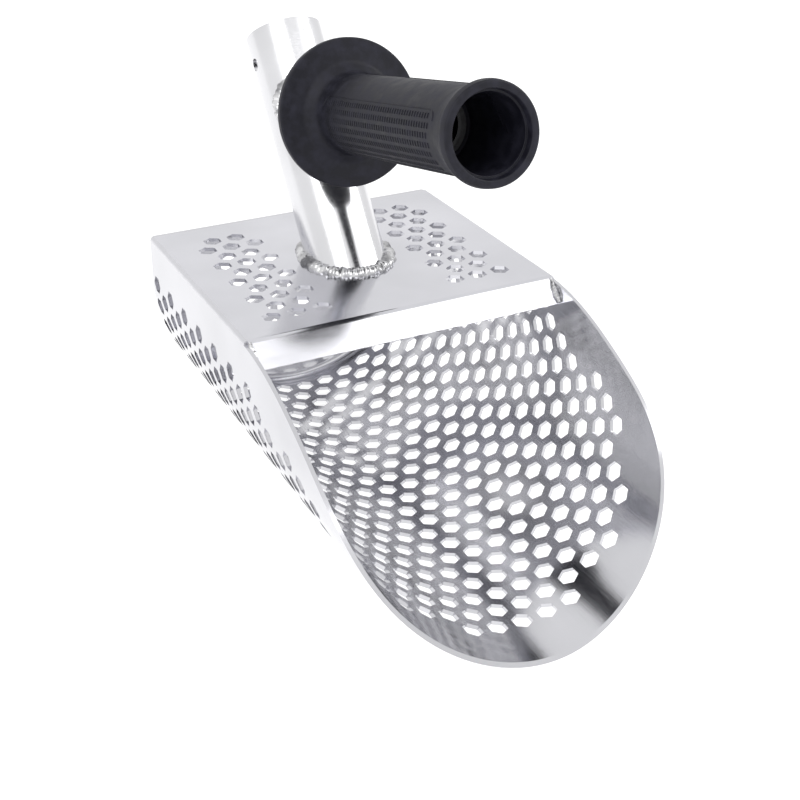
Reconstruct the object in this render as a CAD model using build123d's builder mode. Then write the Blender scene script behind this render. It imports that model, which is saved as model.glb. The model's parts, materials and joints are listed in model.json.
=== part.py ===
"""Beach sand scoop for metal detecting.

A perforated stainless trough with a half-round floor and straight side walls, a flat
perforated top plate with a folded front lip, and a pressed back cap. A pole socket leans back
from the top plate over a drain opening, and a short tube welded to its front carries a
flanged rubber grip.

Millimetres. X = 0 is the plane of symmetry, the mouth faces -Y and +Z is up. The origin is
at the middle of the footprint, at the height of the lowest line of the floor.
"""
import math
import os

from build123d import *

os.makedirs("parts", exist_ok=True)

# ---- Driving dimensions: trough ---------------------------------------------------------
body_width = 175.0  # outside, across the side walls
wall_height = 27.0  # straight wall above the half-round floor
scoop_length = 303.4  # back face to the tip of the digging edge
plate_length = 154.3  # back face to the bend of the front lip
sheet = 2.0  # stainless sheet thickness

# Side profile of the mouth, from the plate down to the tip
brow_reach = 91.4  # brow point, where the edge is a gentle slope: distance behind the tip
brow_drop = 17.9  # and depth below the top
shoulder_reach = 45.4  # shoulder point, where the edge turns down: distance behind the tip
shoulder_height = 67.0  # and height above the floor
brow_slope = 3.0  # degrees below horizontal where the edge leaves the plate
tip_slope = 54.0  # degrees below horizontal where the edge reaches the floor
tip_overrun = 4.0  # the cutting profile runs this far below the floor

# ---- Driving dimensions: hexagonal perforation ------------------------------------------
hole_pitch = 13.63  # centre to centre
hole_flats = 9.1  # across flats
edge_margin = 23.7  # plain border from a sheet's edge to the nearest hole centres
rear_row = 14.1  # back face to the first row of trough holes
plate_rear_row = 28.6  # back face to the first row of plate holes
plate_rows = 10
plate_inner_column = 38.0  # plane of symmetry to the innermost column of plate holes

# ---- Driving dimensions: front lip and back cap -----------------------------------------
lip_width = 15.0
lip_angle = 50.0  # degrees below horizontal
bend_radius = 2.5  # to the middle of the sheet
cap_depth = 7.2  # flange of the pressed back cap
cap_radius = 7.0  # outside radius of its rim
cap_corner = 3.0  # rounding of its two top corners
root_gap = 0.8  # welded gap between cap and trough

# ---- Driving dimensions: pole socket, grip tube and grip --------------------------------
socket_diameter = 43.0
socket_wall = 2.0
socket_length = 132.2  # along the axis, from the plate
socket_lean = 37.0  # degrees back from vertical
socket_foot = 79.0  # back face to where the axis meets the plate
bolt_diameter = 7.0  # cross hole that locks the pole
bolt_from_top = 17.0

tube_diameter = 32.0  # grip tube
tube_wall = 2.0
tube_height = 87.9  # grip axis above the plate, measured along the socket
grip_rise = 12.0  # degrees above horizontal
grip_standoff = 60.0  # socket axis to the back of the grip's flange
grip_length = 154.5
grip_wall = 4.5  # rubber over the tube
flange_reach = 18.3  # flange beyond the barrel
flange_thick = 5.0
flange_edge = 2.2
hub_reach = 5.5  # hub beyond the barrel, where it meets the flange
hub_length = 9.0
bulge_reach = 3.4  # rounded end beyond the barrel
bulge_length = 15.0
mouth_wall = 1.3  # barrel's radius less the mouth's
mouth_depth = 4.0
step_wall = 2.5  # barrel's radius less that of the hollow behind the mouth
step_depth = 50.0
tube_recess = 58.0  # open end of the grip to the end of the tube inside it

# ---- Driving dimensions: welds and fits -------------------------------------------------
socket_bead = 5.5  # leg of the weld round the socket's foot
tube_bead = 5.0  # leg of the weld round the grip tube
lip_bead = 3.0  # leg of the welds at the ends of the lip
fit_gap = 0.05  # clearance between curved faces that touch
grip_gap = 0.1  # clearance of the grip on its tube
drain_gap = 0.5  # drain opening in the plate, outside the socket's bore

# ---- Values that follow from them -------------------------------------------------------
half_width = body_width / 2
height = half_width + wall_height
inner_half = half_width - sheet
middle_radius = half_width - sheet / 2
quarter_arc = middle_radius * math.pi / 2
wall_top = height - sheet
sheet_start = cap_depth + root_gap
row_step = hole_pitch * math.sqrt(3) / 2
socket_radius = socket_diameter / 2
socket_bore = socket_radius - socket_wall
tube_radius = tube_diameter / 2
barrel_radius = tube_radius + grip_wall
flange_radius = barrel_radius + flange_reach
bulge_radius = barrel_radius + bulge_reach
mouth_radius = barrel_radius - mouth_wall
step_radius = barrel_radius - step_wall
grip_end = grip_standoff + grip_length

lean = math.radians(socket_lean)
rise = math.radians(grip_rise)
slope = math.radians(lip_angle)
socket_overhang = socket_length * math.sin(lean) + socket_radius * math.cos(lean) - socket_foot
back_y = (scoop_length - max(socket_overhang, 0)) / 2

# Planes that start at the back face: looking forward, from the side, and on top of the plate
back = Plane(origin=(0, back_y, 0), x_dir=(1, 0, 0), z_dir=(0, -1, 0))
side = Plane(origin=(0, back_y, 0), x_dir=(0, 1, 0), z_dir=(1, 0, 0))
deck = Plane(origin=(0, back_y, height), x_dir=(1, 0, 0), z_dir=(0, 0, 1))

socket_axis = Plane(
    origin=deck.from_local_coords((0, -socket_foot, 0)),
    x_dir=(1, 0, 0),
    z_dir=(0, math.sin(lean), math.cos(lean)),
)
grip_axis = Plane(
    origin=socket_axis.from_local_coords((0, 0, tube_height)),
    x_dir=(1, 0, 0),
    z_dir=(0, -math.cos(rise), math.sin(rise)),
)
grip_side = Plane(origin=grip_axis.origin, x_dir=grip_axis.z_dir, z_dir=(1, 0, 0))
lip_start = Plane(
    origin=deck.from_local_coords((0, -plate_length - sheet / 2 * math.tan(slope / 2), 0)),
    x_dir=(1, 0, 0),
    z_dir=(0, -math.cos(slope), -math.sin(slope)),
)


def trough_face(inset):
    """Cross-section of the whole trough, filled, with its outline moved inwards by inset."""
    radius = half_width - inset
    with BuildLine() as outline:
        Line((-radius, height - inset), (-radius, half_width))
        ThreePointArc((-radius, half_width), (0, inset), (radius, half_width))
        Line((radius, half_width), (radius, height - inset))
        Line((radius, height - inset), (-radius, height - inset))
    make_face(outline.line)


def hexagon(turn=0):
    """One hole of the perforation, with two of its corners on the local X axis."""
    RegularPolygon(radius=hole_flats / 2, side_count=6, major_radius=False, rotation=turn)


def downward(angle):
    """Forward direction in a side view, angle degrees below horizontal."""
    return (-math.cos(math.radians(angle)), -math.sin(math.radians(angle)))


# Mouth edge in a side view: distance from the back face, and height
mouth_edge = Spline(
    (-plate_length, wall_top),
    (-scoop_length + brow_reach, height - brow_drop),
    (-scoop_length + shoulder_reach, shoulder_height),
    (-scoop_length, 0),
    (-scoop_length - tip_overrun / math.tan(math.radians(tip_slope)), -tip_overrun),
    tangents=(downward(brow_slope), downward(tip_slope)),
)


def wrap_length(z):
    """Length along the middle of the sheet from the centre of the floor up to height z."""
    if z >= half_width:
        return quarter_arc + z - half_width
    return middle_radius * math.acos(1 - max(z, 0) / half_width)


def trough_plane(along, y):
    """Plane on the outside of the trough, at a length round its wrap and a place along it."""
    angle = min(abs(along), quarter_arc) / middle_radius
    climb = max(abs(along) - quarter_arc, 0)
    outward = (math.copysign(math.sin(angle), along), 0, -math.cos(angle))
    centre = (half_width * outward[0], back_y + y, half_width * (1 + outward[2]) + climb)
    return Plane(origin=centre, x_dir=(0, 1, 0), z_dir=outward)


def trough_holes():
    """Planes of the trough's holes: each lattice point inside the border of the flat sheet."""
    mouth = [(wrap_length(p.Y), p.X) for p in (mouth_edge @ (i / 200) for i in range(201))]
    wall_edge = quarter_arc + wall_top - half_width
    planes = []
    for row in range(int((scoop_length - rear_row) / row_step)):
        y = -rear_row - row * row_step
        first = 0.5 * (row % 2)
        steps = range(int(wall_edge / hole_pitch) + 1)
        for along in [(first + step) * hole_pitch for step in steps]:
            nearest = min(mouth, key=lambda point: abs(point[0] - along))
            to_mouth = min(math.hypot(along - s, y - edge) for s, edge in mouth)
            if y < nearest[1] or min(to_mouth, wall_edge - along) < edge_margin:
                continue
            planes.append(trough_plane(along, y))
            if along > 0:
                planes.append(trough_plane(-along, y))
    return planes


def plate_holes():
    """Places of the plate's holes: two mirrored panels, with rows of two and three in turn."""
    places = []
    for row in range(plate_rows):
        y = -plate_rear_row - row * row_step
        for step in (1, 3) if row % 2 == 0 else (0, 2, 4):
            x = plate_inner_column + step * hole_pitch / 2
            places += [(x, y), (-x, y)]
    return places


def back_holes():
    """Places of the back's holes: each lattice point inside the border of the back."""
    reach = half_width - edge_margin
    places = []
    for row in range(-int(reach / row_step), int((wall_height + reach) / row_step) + 1):
        z = row * row_step
        for column in range(-int(reach / hole_pitch) - 1, int(reach / hole_pitch) + 1):
            x = (column + 0.5 * (row % 2)) * hole_pitch
            inside = math.hypot(x, min(z, 0)) <= reach
            if inside and z <= wall_height - edge_margin + hole_pitch / 2:
                places.append((x, half_width + z))
    return places


# ---- Trough: half-round floor and side walls, one perforated sheet ----------------------
with BuildPart() as body_shell:
    with BuildSketch(back.offset(sheet_start)):
        trough_face(0)
    extrude(amount=scoop_length)
    with BuildSketch(back):
        trough_face(sheet)
        with Locations((0, height)):
            Rectangle(body_width - 2 * sheet, 4 * sheet)
    extrude(amount=2 * scoop_length, mode=Mode.SUBTRACT)
    with BuildSketch(side):
        with BuildLine() as keep:
            add(mouth_edge)
            Polyline(mouth_edge @ 1, (0, -tip_overrun), (0, wall_top), mouth_edge @ 0)
        make_face(keep.line)
    extrude(amount=body_width, both=True, mode=Mode.INTERSECT)
    with BuildSketch(*[plane.offset(sheet) for plane in trough_holes()]):
        hexagon()
    extrude(amount=-3 * sheet, mode=Mode.SUBTRACT, clean=False)
body_shell.part.label = "body_shell"
export_step(body_shell.part, "parts/body_shell.step")

# ---- Top plate: flat, folded down into a lip in front, with a drain opening under the socket
with BuildPart() as top_plate:
    with BuildSketch(side):
        lip_tip = (
            -plate_length - lip_width * math.cos(slope),
            height - sheet / 2 - lip_width * math.sin(slope),
        )
        with BuildLine() as middle:
            FilletPolyline(
                (-sheet_start, height - sheet / 2),
                (-plate_length, height - sheet / 2),
                lip_tip,
                radius=bend_radius,
            )
        trace(middle.line, line_width=sheet)
    extrude(amount=inner_half, both=True)
    with BuildSketch(deck.offset(sheet)):
        with Locations(*plate_holes()):
            hexagon(90)
    extrude(amount=-3 * sheet, mode=Mode.SUBTRACT, clean=False)
    with BuildSketch(socket_axis.offset(-socket_diameter)):
        Circle(socket_bore + drain_gap)
    extrude(amount=2 * socket_diameter, mode=Mode.SUBTRACT, clean=False)
top_plate.part.label = "top_plate"
export_step(top_plate.part, "parts/top_plate.step")

# ---- Back cap: pressed dish with a rounded rim, perforated ------------------------------
with BuildPart() as cap_hollow:
    with BuildSketch(back.offset(sheet)):
        trough_face(sheet)
    extrude(amount=cap_depth)
    fillet(cap_hollow.faces().sort_by(Axis.Y)[-1].edges(), cap_radius - sheet)

with BuildPart() as back_cap:
    with BuildSketch(back):
        trough_face(0)
    extrude(amount=cap_depth)
    fillet(back_cap.faces().sort_by(Axis.Y)[-1].edges(), cap_radius)
    fillet(back_cap.edges().filter_by(Axis.Y).group_by(Axis.Z)[-1], cap_corner)
    add(cap_hollow.part, mode=Mode.SUBTRACT)
    with BuildSketch(back.offset(-sheet)):
        with Locations(*back_holes()):
            hexagon(90)
    extrude(amount=3 * sheet, mode=Mode.SUBTRACT, clean=False)
back_cap.part.label = "back_cap"
export_step(back_cap.part, "parts/back_cap.step")

# ---- Weld that joins the cap to the trough and the plate --------------------------------
with BuildPart() as cap_seam_weld:
    with BuildSketch(back.offset(cap_depth)):
        trough_face(0)
    extrude(amount=root_gap)
    fillet(cap_seam_weld.edges().filter_by(Axis.Y).group_by(Axis.Z)[-1], cap_corner)
    with BuildSketch(back.offset(cap_depth)):
        trough_face(sheet)
    extrude(amount=root_gap, mode=Mode.SUBTRACT)
cap_seam_weld.part.label = "cap_seam_weld"
export_step(cap_seam_weld.part, "parts/cap_seam_weld.step")


def seam_quarter(hand):
    """Quarter-round section of a side seam: hand is -1 for the left side, 1 for the right."""
    with Locations((hand * inner_half, wall_top)):
        Circle(sheet)
        Rectangle(
            2 * sheet,
            2 * sheet,
            align=(Align.MIN if hand > 0 else Align.MAX, Align.MIN),
            mode=Mode.INTERSECT,
        )


def lip_quarter(hand):
    """Quarter-round section of a bead between the lip and a side wall."""
    with Locations((hand * inner_half, 0)):
        Circle(lip_bead)
        Rectangle(
            2 * lip_bead,
            2 * lip_bead,
            align=(Align.MAX if hand > 0 else Align.MIN, Align.MIN),
            mode=Mode.INTERSECT,
        )


# ---- Welds along the top corners, ground round, from the cap to the lip -----------------
with BuildPart() as side_seam_weld_left:
    with BuildSketch(back.offset(sheet_start)):
        seam_quarter(-1)
    extrude(amount=plate_length - sheet_start)
side_seam_weld_left.part.label = "side_seam_weld_left"
export_step(side_seam_weld_left.part, "parts/side_seam_weld_left.step")

with BuildPart() as side_seam_weld_right:
    with BuildSketch(back.offset(sheet_start)):
        seam_quarter(1)
    extrude(amount=plate_length - sheet_start)
side_seam_weld_right.part.label = "side_seam_weld_right"
export_step(side_seam_weld_right.part, "parts/side_seam_weld_right.step")

# ---- Welds that close the ends of the lip against the side walls ------------------------
with BuildPart() as lip_weld_left:
    with BuildSketch(lip_start):
        lip_quarter(-1)
    extrude(amount=lip_width)
    split(bisect_by=deck, keep=Keep.BOTTOM)
lip_weld_left.part.label = "lip_weld_left"
export_step(lip_weld_left.part, "parts/lip_weld_left.step")

with BuildPart() as lip_weld_right:
    with BuildSketch(lip_start):
        lip_quarter(1)
    extrude(amount=lip_width)
    split(bisect_by=deck, keep=Keep.BOTTOM)
lip_weld_right.part.label = "lip_weld_right"
export_step(lip_weld_right.part, "parts/lip_weld_right.step")

# ---- Pole socket: tube cut to sit on the plate, with a cross hole near its top ----------
with BuildPart() as pole_socket:
    with BuildSketch(socket_axis.offset(-socket_diameter)):
        Circle(socket_radius)
        Circle(socket_bore, mode=Mode.SUBTRACT)
    extrude(amount=socket_diameter + socket_length)
    split(bisect_by=deck, keep=Keep.TOP)
    with BuildSketch(side):
        with Locations(side.to_local_coords(
            socket_axis.from_local_coords((0, 0, socket_length - bolt_from_top))
        )):
            Circle(bolt_diameter / 2)
    extrude(amount=socket_diameter, both=True, mode=Mode.SUBTRACT)
pole_socket.part.label = "pole_socket"
export_step(pole_socket.part, "parts/pole_socket.step")

# ---- Weld round the foot of the socket --------------------------------------------------
with BuildPart() as socket_weld:
    with BuildSketch(deck):
        with Locations((0, -socket_foot)):
            Ellipse(socket_radius + socket_bead, socket_radius / math.cos(lean) + socket_bead)
    with BuildSketch(deck.offset(socket_bead)):
        with Locations((0, -socket_foot + socket_bead * math.tan(lean))):
            Ellipse(socket_radius + 1, socket_radius / math.cos(lean) + 1)
    loft(ruled=True)
    with BuildSketch(socket_axis.offset(-socket_diameter)):
        Circle(socket_radius + fit_gap)
    extrude(amount=2 * socket_diameter, mode=Mode.SUBTRACT)
socket_weld.part.label = "socket_weld"
export_step(socket_weld.part, "parts/socket_weld.step")

# ---- Grip tube: coped to the socket, running inside the grip ----------------------------
with BuildPart() as grip_tube:
    with BuildSketch(grip_axis):
        Circle(tube_radius)
        Circle(tube_radius - tube_wall, mode=Mode.SUBTRACT)
    extrude(amount=grip_end - tube_recess)
    with BuildSketch(socket_axis):
        Circle(socket_radius + fit_gap)
    extrude(amount=2 * socket_length, mode=Mode.SUBTRACT)
grip_tube.part.label = "grip_tube"
export_step(grip_tube.part, "parts/grip_tube.step")

# ---- Weld between the socket and the grip tube ------------------------------------------
with BuildPart() as grip_tube_weld:
    with BuildSketch(socket_axis):
        Circle(socket_radius + tube_bead)
        Circle(socket_radius + fit_gap, mode=Mode.SUBTRACT)
    extrude(amount=socket_length)
    with BuildSketch(grip_axis):
        Circle(tube_radius + tube_bead)
        Circle(tube_radius + fit_gap, mode=Mode.SUBTRACT)
    extrude(amount=grip_standoff, mode=Mode.INTERSECT)
grip_tube_weld.part.label = "grip_tube_weld"
export_step(grip_tube_weld.part, "parts/grip_tube_weld.step")

# ---- Grip: moulded rubber sleeve with a hand flange and a rounded open end --------------
with BuildPart() as grip:
    with BuildSketch(grip_side):
        bore = tube_radius + grip_gap
        hub_start = grip_standoff + flange_thick
        rim = (bulge_radius - mouth_radius) / 2
        with BuildLine() as profile:
            Polyline(
                (grip_standoff, bore),
                (grip_standoff, flange_radius),
                (hub_start, flange_radius),
                (hub_start, barrel_radius + hub_reach),
                (hub_start + hub_length, barrel_radius),
                (grip_end - bulge_length, barrel_radius),
            )
            Spline(
                (grip_end - bulge_length, barrel_radius),
                (grip_end - rim, bulge_radius),
                tangents=((1, 0), (1, 0)),
            )
            ThreePointArc(
                (grip_end - rim, bulge_radius),
                (grip_end, bulge_radius - rim),
                (grip_end - rim, mouth_radius),
            )
            Polyline(
                (grip_end - rim, mouth_radius),
                (grip_end - mouth_depth, mouth_radius),
                (grip_end - mouth_depth, step_radius),
                (grip_end - mouth_depth - step_depth, step_radius),
                (grip_end - mouth_depth - step_depth, bore),
                (grip_standoff, bore),
            )
        make_face(profile.line)
    revolve(axis=Axis(grip_side.origin, grip_side.x_dir))
    flange_edges = grip.edges().filter_by(GeomType.CIRCLE).sort_by(SortBy.RADIUS)[-2:]
    fillet(flange_edges, flange_edge)
grip.part.label = "grip"
export_step(grip.part, "parts/grip.step")
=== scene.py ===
# %% [markdown]
# # A beach sand scoop in polished stainless steel
# The scoop is a perforated trough with a flat top plate, a leaning pole socket and a rubber
# grip. Its steel pieces come from the CAD frame, because their shape is exact there, and they
# only need a finish here. The grip and the weld beads are modelled again, because what makes
# them look real, knurls and ripples, is too fine for the frame.

# %% Load the frame
import json
import math

import bmesh
import bpy
from mathutils import Matrix, Vector, noise


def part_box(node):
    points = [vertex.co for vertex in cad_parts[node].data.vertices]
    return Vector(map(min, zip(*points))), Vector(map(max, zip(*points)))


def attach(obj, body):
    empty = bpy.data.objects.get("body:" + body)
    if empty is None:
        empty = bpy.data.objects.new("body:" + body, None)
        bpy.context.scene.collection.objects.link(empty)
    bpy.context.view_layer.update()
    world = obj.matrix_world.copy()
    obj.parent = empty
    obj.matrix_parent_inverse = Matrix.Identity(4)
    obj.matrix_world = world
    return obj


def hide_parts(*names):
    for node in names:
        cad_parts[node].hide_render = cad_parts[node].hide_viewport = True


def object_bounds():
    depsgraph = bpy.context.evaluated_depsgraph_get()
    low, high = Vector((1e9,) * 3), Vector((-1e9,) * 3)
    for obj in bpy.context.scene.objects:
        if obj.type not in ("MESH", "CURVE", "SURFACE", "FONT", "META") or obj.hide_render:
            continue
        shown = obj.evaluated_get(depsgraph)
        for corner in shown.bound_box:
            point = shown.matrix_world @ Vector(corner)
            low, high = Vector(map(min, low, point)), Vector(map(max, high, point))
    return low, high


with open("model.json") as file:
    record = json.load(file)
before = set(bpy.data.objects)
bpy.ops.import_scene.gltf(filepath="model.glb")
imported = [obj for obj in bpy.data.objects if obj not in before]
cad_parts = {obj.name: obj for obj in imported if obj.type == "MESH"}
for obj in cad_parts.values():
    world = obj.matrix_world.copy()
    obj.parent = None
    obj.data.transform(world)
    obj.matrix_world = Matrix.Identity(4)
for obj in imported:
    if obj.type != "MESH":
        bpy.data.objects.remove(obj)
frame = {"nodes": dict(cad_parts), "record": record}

CAD_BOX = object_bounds()
MM = 0.001
print("frame", sorted(frame["nodes"]))

# %% [markdown]
# Places are read from the frame, so that nothing here has to be fitted. The socket's axis
# comes from its mount, its foot is where that axis meets the top of the plate, and the grip
# leaves the socket at a known height along it and rises a little towards the front.

# %% Places that the frame gives
mounts = {m["name"]: m for m in frame["record"]["mounts"]}
deck_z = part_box("side_seam_weld_left")[1].z
socket_dir = Vector(mounts["pole_socket_bore"]["axis"]).normalized()
socket_point = Vector(mounts["pole_socket_bore"]["pos_m"])
foot = socket_point - socket_dir * ((socket_point.z - deck_z) / socket_dir.z)
socket_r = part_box("pole_socket")[1].x
tube_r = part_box("grip_tube")[1].x
print("socket foot", foot, "radius", round(socket_r, 4), "grip tube", round(tube_r, 4))

# %% Places along the grip
GRIP_UP = 87.9 * MM  # along the socket, from the plate to the grip's axis
GRIP_RISE = math.radians(12)
grip_dir = Vector((0, -math.cos(GRIP_RISE), math.sin(GRIP_RISE)))
grip_up = Vector((0, math.sin(GRIP_RISE), math.cos(GRIP_RISE)))
grip_root = foot + socket_dir * GRIP_UP
TO_GRIP = Matrix.Translation(grip_root) @ Matrix((
    (1, grip_up.x, grip_dir.x),
    (0, grip_up.y, grip_dir.y),
    (0, grip_up.z, grip_dir.z),
)).to_4x4()
print("grip starts at", grip_root)

# %% [markdown]
# ## Finishes
# Each finish is a node tree on a Principled shader. A short helper makes the material and
# hands back its parts, and a second one adds a noise texture on Object coordinates, which
# stay put on the piece however it is lit or turned.


# %% Helpers for finishes
def new_finish(name, colour, metallic, roughness):
    material = bpy.data.materials.new(name)
    material.use_nodes = True
    tree = material.node_tree
    shader = tree.nodes["Principled BSDF"]
    shader.inputs["Base Color"].default_value = (*colour, 1)
    shader.inputs["Metallic"].default_value = metallic
    shader.inputs["Roughness"].default_value = roughness
    return material, tree, shader


def noise_on(tree, scale, stretch=(1, 1, 1), detail=4.0):
    place = tree.nodes.new("ShaderNodeTexCoord")
    mapping = tree.nodes.new("ShaderNodeMapping")
    mapping.inputs["Scale"].default_value = stretch
    texture = tree.nodes.new("ShaderNodeTexNoise")
    texture.inputs["Scale"].default_value = scale
    texture.inputs["Detail"].default_value = detail
    tree.links.new(place.outputs["Object"], mapping.inputs["Vector"])
    tree.links.new(mapping.outputs["Vector"], texture.inputs["Vector"])
    return texture.outputs["Fac"]


def remap(tree, value, low, high):
    """Turn the middle of a noise's range into a number between low and high."""
    node = tree.nodes.new("ShaderNodeMapRange")
    node.inputs["From Min"].default_value = 0.3
    node.inputs["From Max"].default_value = 0.7
    node.inputs["To Min"].default_value = low
    node.inputs["To Max"].default_value = high
    tree.links.new(value, node.inputs["Value"])
    return node.outputs["Result"]


def blend(tree, value, low, high, colours):
    """Turn a noise's range from low to high into a blend of two colours."""
    node = tree.nodes.new("ShaderNodeValToRGB")
    for stop, position, colour in zip(node.color_ramp.elements, (low, high), colours):
        stop.position = position
        stop.color = (*colour, 1)
    tree.links.new(value, node.inputs["Fac"])
    return node.outputs["Color"]


def bump(tree, shader, layers):
    """Stack bump layers, each (height socket, strength, distance), onto the shader."""
    normal = None
    for height, strength, distance in layers:
        node = tree.nodes.new("ShaderNodeBump")
        node.inputs["Strength"].default_value = strength
        node.inputs["Distance"].default_value = distance
        tree.links.new(height, node.inputs["Height"])
        if normal:
            tree.links.new(normal, node.inputs["Normal"])
        normal = node.outputs["Normal"]
    tree.links.new(normal, shader.inputs["Normal"])


# %% [markdown]
# The steel is polished after it is punched and bent. Its reflections are nearly sharp, with
# faint waves from the bending, and it carries hair-fine scratches. Stretched noise gives the
# scratches, in roughness and in bump, and slow noise gives the waves. The trough, the plate,
# the tubes and the ground corner welds differ only in colour, roughness and grain.


# %% Polished steel
def polished_steel(name, colour, roughness, grain, waves, hair):
    """Steel with scratches stretched by grain, slow waves, and scratches of depth hair."""
    material, tree, shader = new_finish(name, colour, 1.0, roughness)
    scratches = noise_on(tree, 60, grain, 6.0)
    clouds = noise_on(tree, 14, detail=3.0)
    swell = noise_on(tree, 9, detail=1.0)
    mix = tree.nodes.new("ShaderNodeMath")
    mix.operation = "ADD"
    tree.links.new(remap(tree, scratches, roughness * 0.35, roughness * 0.85), mix.inputs[0])
    tree.links.new(remap(tree, clouds, 0.0, roughness * 0.6), mix.inputs[1])
    tree.links.new(mix.outputs["Value"], shader.inputs["Roughness"])
    dark = tuple(c * 0.86 for c in colour)
    tree.links.new(blend(tree, clouds, 0.3, 0.7, (dark, colour)), shader.inputs["Base Color"])
    bump(tree, shader, [(swell, waves, 0.004), (scratches, hair, 0.0003)])
    return material


sheet_steel = polished_steel("polished_sheet", (0.66, 0.66, 0.69), 0.15, (40, 1, 40), 0.12, 0.05)
plate_steel = polished_steel("polished_plate", (0.70, 0.70, 0.74), 0.15, (1, 3, 3), 0.04, 0.015)
tube_steel = polished_steel("polished_tube", (0.74, 0.74, 0.76), 0.22, (1, 40, 40), 0.05, 0.04)
edge_steel = polished_steel("ground_edge", (0.70, 0.70, 0.73), 0.45, (1, 3, 3), 0.04, 0.03)
print("finishes", [m.name for m in (sheet_steel, plate_steel, tube_steel, edge_steel)])

# %% [markdown]
# Weld metal is duller than the sheet, and the heat leaves darker grey patches on it. The
# rubber is almost black, matte and slightly dusty.


# %% Weld metal
def weld_metal():
    material, tree, shader = new_finish("weld_metal", (0.5, 0.5, 0.5), 1.0, 0.32)
    tint = noise_on(tree, 90, detail=3.0)
    grit = noise_on(tree, 900, detail=2.0)
    colours = ((0.16, 0.16, 0.17), (0.70, 0.70, 0.71))
    tree.links.new(blend(tree, tint, 0.35, 0.62, colours), shader.inputs["Base Color"])
    tree.links.new(remap(tree, tint, 0.36, 0.20), shader.inputs["Roughness"])
    bump(tree, shader, [(grit, 0.12, 0.0002)])
    return material


bead_steel = weld_metal()


# %% Rubber
def grip_rubber():
    material, tree, shader = new_finish("grip_rubber", (0.012, 0.012, 0.016), 0.0, 0.55)
    dust = noise_on(tree, 160, detail=8.0)
    pores = noise_on(tree, 1400, detail=2.0)
    colours = ((0.006, 0.006, 0.011), (0.016, 0.016, 0.026))
    tree.links.new(blend(tree, dust, 0.42, 0.72, colours), shader.inputs["Base Color"])
    tree.links.new(remap(tree, dust, 0.45, 0.62), shader.inputs["Roughness"])
    shader.inputs["Specular IOR Level"].default_value = 0.26
    bump(tree, shader, [(pores, 0.18, 0.0002)])
    return material


rubber = grip_rubber()
print("finishes", bead_steel.name, rubber.name)


# %% Finishes on the frame's own pieces
def dress(node, material):
    for slot in frame["nodes"][node].material_slots:
        slot.material = material


for node in ("body_shell", "back_cap", "cap_seam_weld"):
    dress(node, sheet_steel)
dress("top_plate", plate_steel)
for node in ("side_seam_weld_left", "side_seam_weld_right"):
    dress(node, edge_steel)
for node in ("pole_socket", "grip_tube"):
    dress(node, tube_steel)
print("dressed the steel")


# %% [markdown]
# ## New pieces
# Every new piece is made in place, so its object stays at the origin. This helper turns a
# bmesh into such an object, merges doubles, points the faces outwards, shades it smooth up to
# an angle, tells the frame which body it rides on, and hides the CAD node that it stands for.


# %% Helper for new pieces
def finish_piece(bm, name, material, node=None, smooth=40):
    bmesh.ops.remove_doubles(bm, verts=bm.verts, dist=1e-6)
    bmesh.ops.recalc_face_normals(bm, faces=bm.faces)
    mesh = bpy.data.meshes.new(name)
    bm.to_mesh(mesh)
    bm.free()
    mesh.materials.append(material)
    for polygon in mesh.polygons:
        polygon.use_smooth = True
    mesh.set_sharp_from_angle(angle=math.radians(smooth))
    piece = bpy.data.objects.new(name, mesh)
    bpy.context.scene.collection.objects.link(piece)
    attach(piece, "root")
    if node:
        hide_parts(node)
    print(name, len(mesh.polygons), "faces")
    return piece


# %% [markdown]
# ### Weld beads
# A hand weld is a row of overlapping puddles. A bead starts as a round section spun into a
# ring, or drawn out into a rod. Then each vertex moves in or out with a wave that has one
# crest per puddle, curved into the crescent shape that a moving torch leaves, plus noise that
# makes the bead as uneven as a hand leaves it.

# %% Ripples
BEAD_PITCH = 2.3 * MM  # one puddle to the next
BEAD_SIDES = 14
STEPS_PER_PUDDLE = 8
SPIN_R = 10  # distance of the unit section from the axis it is spun about


def ripple(run, turn, seed):
    """Swelling of a bead, at a length along it and an angle round its section."""
    lean_back = 0.55 * math.cos(turn)
    wander = 0.9 * noise.noise(Vector((run * 160, seed, 0)))
    crest = abs(math.sin(math.pi * run / BEAD_PITCH + lean_back + wander))
    lump = noise.noise(Vector((run * 260, turn, seed)))
    return 1 + 0.10 * (crest - 0.6) + 0.38 * lump


def spun_section(steps):
    """A round section of radius 1, spun a full turn about Z."""
    bm = bmesh.new()
    bmesh.ops.create_circle(bm, segments=BEAD_SIDES, radius=1)
    bmesh.ops.rotate(bm, verts=bm.verts, matrix=Matrix.Rotation(math.pi / 2, 3, "X"))
    bmesh.ops.translate(bm, verts=bm.verts, vec=(SPIN_R, 0, 0))
    bmesh.ops.spin(bm, geom=bm.verts[:] + bm.edges[:], cent=(0, 0, 0), axis=(0, 0, 1),
                   angle=2 * math.pi, steps=steps, use_merge=True)
    return bm


def bead_ring(name, node, bead, ring_length, place, seed):
    """place(angle) gives the ring's centre line there, and its two section directions."""
    puddles = round(ring_length / BEAD_PITCH)
    bm = spun_section(puddles * STEPS_PER_PUDDLE)
    for vert in bm.verts:
        angle = math.atan2(vert.co.y, vert.co.x)
        across, up = math.hypot(vert.co.x, vert.co.y) - SPIN_R, vert.co.z
        run = (angle / (2 * math.pi) + 0.5) * puddles * BEAD_PITCH
        size = bead * ripple(run, math.atan2(up, across), seed)
        centre, outward, upward = place(angle)
        vert.co = centre + outward * across * size + upward * up * size
    return finish_piece(bm, name, bead_steel, node, 60)


# %% Bead round the socket's foot
lean = math.acos(socket_dir.z)
FOOT_BEAD = 3.9 * MM
foot_a, foot_b = socket_r + 1.0 * MM, socket_r / math.cos(lean) + 1.0 * MM


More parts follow.
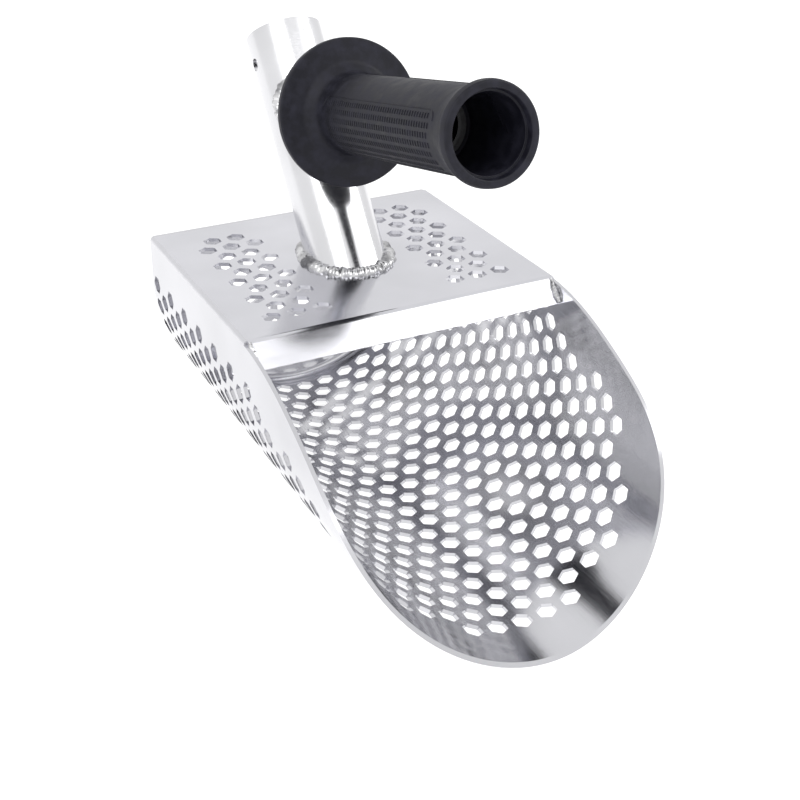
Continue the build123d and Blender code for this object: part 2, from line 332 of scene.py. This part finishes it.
def round_foot(angle):
    outward = Vector((math.cos(angle) * foot_b, math.sin(angle) * foot_a, 0)).normalized()
    centre = foot + Vector((foot_a * math.cos(angle), foot_b * math.sin(angle), -0.5 * MM))
    return centre, outward, Vector((0, 0, 1))


bead_ring("socket_bead", "socket_weld", FOOT_BEAD, math.pi * (foot_a + foot_b), round_foot, 3)

# %% Bead between the socket and the grip tube
TUBE_BEAD = 4.4 * MM


def round_tube(angle):
    """Where the grip tube's side meets the socket's side, at an angle round the tube."""
    reach = tube_r + 2.4 * MM
    outward = Vector((math.cos(angle), 0, 0)) + grip_up * math.sin(angle)
    flat = outward * reach - socket_dir * (outward * reach).dot(socket_dir)
    ahead = grip_dir - socket_dir * grip_dir.dot(socket_dir)
    half = flat.dot(ahead)
    inside = half ** 2 - ahead.length_squared * (flat.length_squared - socket_r ** 2)
    along = (-half + math.sqrt(max(inside, 0))) / ahead.length_squared
    centre = grip_root + outward * reach + grip_dir * (along + 0.8 * MM)
    return centre, outward, grip_dir


bead_ring("grip_tube_bead", "grip_tube_weld", TUBE_BEAD, 2 * math.pi * tube_r, round_tube, 11)


# %% Beads at the ends of the lip
def bead_rod(name, node, start, end, bead, seed):
    steps = round((end - start).length / BEAD_PITCH * STEPS_PER_PUDDLE)
    along = (end - start) / steps
    bm = bmesh.new()
    bmesh.ops.create_circle(bm, segments=BEAD_SIDES, radius=bead)
    turn = along.to_track_quat("Z", "X").to_matrix()
    bmesh.ops.rotate(bm, verts=bm.verts, matrix=turn)
    bmesh.ops.translate(bm, verts=bm.verts, vec=start)
    ring = bm.edges[:]
    rings = [list(bm.verts)]
    for _ in range(steps):
        made = bmesh.ops.extrude_edge_only(bm, edges=ring)["geom"]
        ring = [g for g in made if isinstance(g, bmesh.types.BMEdge)]
        fresh = [g for g in made if isinstance(g, bmesh.types.BMVert)]
        ring = [e for e in ring if all(v in fresh for v in e.verts)]
        bmesh.ops.translate(bm, verts=fresh, vec=along)
        rings.append(fresh)
    for step, verts in enumerate(rings):
        centre = start + along * step
        taper = math.sin(math.pi * min(max(step / steps, 0.06), 0.94)) ** 0.3
        for vert in verts:
            spoke = vert.co - centre
            local = turn.inverted() @ spoke
            size = taper * ripple(step * along.length, math.atan2(local.y, local.x), seed)
            vert.co = centre + spoke * size
    bmesh.ops.holes_fill(bm, edges=[e for e in bm.edges if e.is_boundary], sides=0)
    return finish_piece(bm, name, bead_steel, node, 60)


for side, name in ((-1, "left"), (1, "right")):
    low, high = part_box(f"lip_weld_{name}")
    corner_x = side * min(abs(low.x), abs(high.x)) + side * 2.1 * MM
    top = Vector((corner_x, high.y - 0.6 * MM, high.z - 0.9 * MM))
    end = Vector((corner_x, low.y + 1.6 * MM, low.z + 0.6 * MM))
    bead_rod(f"lip_bead_{name}", f"lip_weld_{name}", top, end, 1.5 * MM, 20 + side)

# %% [markdown]
# ### The grip
# The grip is a moulded rubber sleeve, so its body is turned: half of its section is drawn as
# a chain of edges and spun about the grip's axis. Each point of the chain is a radius, a place
# along the grip and a rounding, and a bevel rounds it. The chain runs from the bore, over the
# flange, hub, barrel and bulge, to the stepped hollow in the open end.

# %% Grip sizes
STANDOFF, LENGTH = 60.0 * MM, 154.5 * MM
END = STANDOFF + LENGTH
FLANGE_R, FLANGE_T = 38.8 * MM, 5.0 * MM
HUB_R, HUB_L = 26.0 * MM, 9.0 * MM
BARREL_R, BULGE_R = 20.5 * MM, 23.9 * MM
MOUTH_R, STEP_R = 19.2 * MM, 18.0 * MM
MOUTH_DEEP, STEP_DEEP = 4.0 * MM, 54.0 * MM  # from the open end
BORE_R = tube_r + 0.1 * MM
SOFTNESS = 0.55 * MM  # size of a corner's bevel for each unit of its rounding

# %% Turned body of the grip
section = [
    (BORE_R, STANDOFF, 0), (FLANGE_R - 3 * MM, STANDOFF, 0),
    (FLANGE_R, STANDOFF + 0.4 * MM, 1.6), (FLANGE_R, STANDOFF + FLANGE_T - 0.3 * MM, 1.6),
    (FLANGE_R - 5 * MM, STANDOFF + FLANGE_T, 0.5), (HUB_R, STANDOFF + FLANGE_T + 1 * MM, 2.5),
    (BARREL_R + 1.2 * MM, STANDOFF + FLANGE_T + HUB_L * 0.55, 2.5),
    (BARREL_R, STANDOFF + FLANGE_T + HUB_L, 3.0),
    (BARREL_R, END - 15 * MM, 4.0), (BARREL_R + 1.1 * MM, END - 9 * MM, 2.5),
    (BULGE_R, END - 4.8 * MM, 2.2), (BULGE_R - 0.6 * MM, END, 2.0),
    (MOUTH_R + 0.4 * MM, END, 1.6), (MOUTH_R, END - MOUTH_DEEP, 0.3),
    (STEP_R + 0.2 * MM, END - MOUTH_DEEP, 0.5), (STEP_R, END - STEP_DEEP, 0.2),
    (BORE_R, END - STEP_DEEP, 0),
]
bm = bmesh.new()
chain = [bm.verts.new((radius, 0, along)) for radius, along, _ in section]
links = [bm.edges.new(pair) for pair in zip(chain, chain[1:])]
for vert, (_, _, round_by) in zip(chain, section):
    if round_by:
        bmesh.ops.bevel(bm, geom=[vert], offset=round_by * SOFTNESS, segments=5, profile=0.5,
                        affect="VERTICES", material=-1, clamp_overlap=True)
bm.edges.new((chain[0], chain[-1]))
bmesh.ops.spin(bm, geom=bm.verts[:] + bm.edges[:], cent=(0, 0, 0), axis=(0, 0, 1),
               angle=2 * math.pi, steps=128, use_merge=True)
bmesh.ops.transform(bm, matrix=TO_GRIP, verts=bm.verts)
finish_piece(bm, "grip_sleeve", rubber, "grip", 35)

# %% [markdown]
# The barrel has two knurled panels with smooth strips between them. Each panel is a block of
# small cross ribs in rows. One rib is a bevelled cube, and loops copy it round and along the
# barrel. A thin raised line runs round each panel, with rounded corners.

# %% Knurled panels
PANEL_START, PANEL_END = STANDOFF + FLANGE_T + HUB_L + 2.5 * MM, END - 19 * MM
ROWS, ROW_STEP = 9, math.radians(12.2)
RIB_PITCH = 2.5 * MM
RIB = Vector((0.34 * MM, 3.4 * MM, 1.1 * MM))  # height, across, along the grip
PANEL_TURN = (math.radians(203), math.radians(23))


def on_barrel(radius, angle, along):
    return Vector((radius * math.cos(angle), radius * math.sin(angle), along))


def add_rib(bm, angle, along):
    made = bmesh.ops.create_cube(bm, size=1)["verts"]
    for vert in made:
        shrink = 0.62 if vert.co.x > 0 else 1.0
        flat = (vert.co.x * 2 * RIB.x, vert.co.y * RIB.y * shrink, vert.co.z * RIB.z * shrink)
        vert.co = Matrix.Rotation(angle, 3, "Z") @ (Vector(flat) + Vector((BARREL_R, 0, 0)))
        vert.co.z += along


for count, turn in enumerate(PANEL_TURN):
    bm = bmesh.new()
    for row in range(ROWS):
        angle = turn + (row - (ROWS - 1) / 2) * ROW_STEP
        along = PANEL_START + (0.5 * (row % 2) + 1.5) * RIB_PITCH
        while along < PANEL_END - 1.2 * RIB_PITCH:
            add_rib(bm, angle, along)
            along += RIB_PITCH
    bmesh.ops.transform(bm, matrix=TO_GRIP, verts=bm.verts)
    finish_piece(bm, f"grip_knurls_{count + 1}", rubber, None, 30)


# %% Line round each panel
def panel_corners(grow):
    """Rounded rectangle on the unrolled barrel, as (length round, length along) points."""
    half = BARREL_R * ROW_STEP * ROWS / 2 + 0.6 * MM + grow
    low, high = PANEL_START - grow, PANEL_END + grow
    soft = 4.5 * MM + grow
    points = []
    for cx, cy, start in ((half - soft, high - soft, 0), (soft - half, high - soft, 90),
                          (soft - half, low + soft, 180), (half - soft, low + soft, 270)):
        for step in range(7):
            a = math.radians(start + 15 * step)
            points.append((cx + soft * math.cos(a), cy + soft * math.sin(a)))
    return points


def loop_of(bm, points, radius, turn):
    verts = [bm.verts.new(on_barrel(radius, turn + u / BARREL_R, v)) for u, v in points]
    return [bm.edges.new((verts[i - 1], verts[i])) for i in range(len(verts))]


for count, turn in enumerate(PANEL_TURN):
    bm = bmesh.new()
    outer = loop_of(bm, panel_corners(0.45 * MM), BARREL_R - 0.1 * MM, turn)
    crest = loop_of(bm, panel_corners(0.2 * MM), BARREL_R + 0.35 * MM, turn)
    inner = loop_of(bm, panel_corners(-0.05 * MM), BARREL_R - 0.1 * MM, turn)
    for pair in ((outer, crest), (crest, inner), (inner, outer)):
        bmesh.ops.bridge_loops(bm, edges=pair[0] + pair[1])
    bmesh.ops.transform(bm, matrix=TO_GRIP, verts=bm.verts)
    finish_piece(bm, f"grip_panel_line_{count + 1}", rubber, None, 30)

# %% [markdown]
# ## Setting
# A pale floor, a surround and four soft boxes. Polished steel only shows what it reflects, so
# the surround is not even. It is white near the horizon, which the tube and the outside of the
# trough mirror, and dark overhead, which the inside of the trough mirrors. The edge between the
# two is sharp, because both stops of the ramp stand at the same place, and noise makes that edge
# wander up and down the sky, so that it breaks the reflections up into patches.


# %% Floor
floor_mesh = bpy.data.meshes.new("floor")
bm = bmesh.new()
bmesh.ops.create_grid(bm, x_segments=1, y_segments=1, size=6)
bmesh.ops.translate(bm, verts=bm.verts, vec=(0, 0, CAD_BOX[0].z - 0.2 * MM))
bm.to_mesh(floor_mesh)
bm.free()
floor = bpy.data.objects.new("floor", floor_mesh)
bpy.context.scene.collection.objects.link(floor)
pale, tree, shader = new_finish("pale_floor", (0.35, 0.35, 0.35), 0.0, 0.9)
shader.inputs["Emission Color"].default_value = (1, 1, 1, 1)
shader.inputs["Emission Strength"].default_value = 0.85
floor_mesh.materials.append(pale)

# %% Surround
SKY_EDGE = 1.0  # where white turns dark, on a scale of height in the sky plus the noise's push
CLOUD_PUSH = 1.1
bpy.context.scene.view_settings.view_transform = "Standard"
world = bpy.data.worlds.new("studio")
bpy.context.scene.world = world
world.use_nodes = True
tree = world.node_tree
back = tree.nodes["Background"]
place = tree.nodes.new("ShaderNodeTexCoord")
axes = tree.nodes.new("ShaderNodeSeparateXYZ")
clouds = tree.nodes.new("ShaderNodeTexNoise")
clouds.inputs["Scale"].default_value = 3.0
clouds.inputs["Detail"].default_value = 1.0
lift = tree.nodes.new("ShaderNodeMath")  # height in the sky, plus the clouds' push
lift.operation = "MULTIPLY_ADD"
lift.inputs[1].default_value = CLOUD_PUSH
shades = tree.nodes.new("ShaderNodeValToRGB")
for stop, shade in zip(shades.color_ramp.elements, ((1, 1, 1, 1), (0.05, 0.05, 0.065, 1))):
    stop.position = SKY_EDGE
    stop.color = shade
tree.links.new(place.outputs["Generated"], axes.inputs["Vector"])
tree.links.new(place.outputs["Generated"], clouds.inputs["Vector"])
tree.links.new(clouds.outputs["Fac"], lift.inputs[0])
tree.links.new(axes.outputs["Z"], lift.inputs[2])
tree.links.new(lift.outputs["Value"], shades.inputs["Fac"])
tree.links.new(shades.outputs["Color"], back.inputs["Color"])
back.inputs["Strength"].default_value = 1.02


# %% Lights
def soft_light(name, place, aim, size, power):
    data = bpy.data.lights.new(name, "AREA")
    data.shape = "SQUARE"
    data.size = size
    data.energy = power
    lamp = bpy.data.objects.new(name, data)
    lamp.matrix_world = (Matrix.Translation(place)
                         @ (aim - place).to_track_quat("-Z", "Y").to_matrix().to_4x4())
    bpy.context.scene.collection.objects.link(lamp)


middle = (CAD_BOX[0] + CAD_BOX[1]) / 2
lip = Vector((0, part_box("top_plate")[0].y, deck_z))
soft_light("key", Vector((-0.9, -0.6, 1.3)), middle, 0.9, 7)
soft_light("fill", Vector((1.2, -0.4, 0.9)), middle, 0.6, 4)
soft_light("lip_box", lip + Vector((0.55, -0.57, 0.80)), lip, 0.45, 0.9)
soft_light("lip_edge", lip + Vector((0.10, -0.61, 0.86)), lip, 0.26, 0.3)
print("lit")

# %% [markdown]
# ## Camera
# The camera looks down at the mouth from the front left, from about 0.8 m, with the lens of a
# portrait shot. A small shift sets the scoop where it belongs in the frame.

# %% Camera
AZIMUTH, ELEVATION, ROLL = math.radians(-28.746), math.radians(23.718), math.radians(0.791)
CAMERA_AT = Vector((-0.2872, -0.5819, 0.4137))
away = Vector((math.cos(ELEVATION) * math.sin(AZIMUTH),
               -math.cos(ELEVATION) * math.cos(AZIMUTH), math.sin(ELEVATION)))
right = (-away).cross(Vector((0, 0, 1))).normalized()
above = right.cross(-away)
right, above = (right * math.cos(ROLL) + above * math.sin(ROLL),
                above * math.cos(ROLL) - right * math.sin(ROLL))
lens = bpy.data.cameras.new("camera")
lens.sensor_width = 36
lens.lens = 62.8
lens.shift_x, lens.shift_y = -0.0654, -0.1587
camera = bpy.data.objects.new("camera", lens)
camera.matrix_world = Matrix.Translation(CAMERA_AT) @ Matrix((
    (right.x, above.x, away.x),
    (right.y, above.y, away.y),
    (right.z, above.z, away.z),
)).to_4x4()
bpy.context.scene.collection.objects.link(camera)
bpy.context.scene.camera = camera
print("camera", CAMERA_AT)
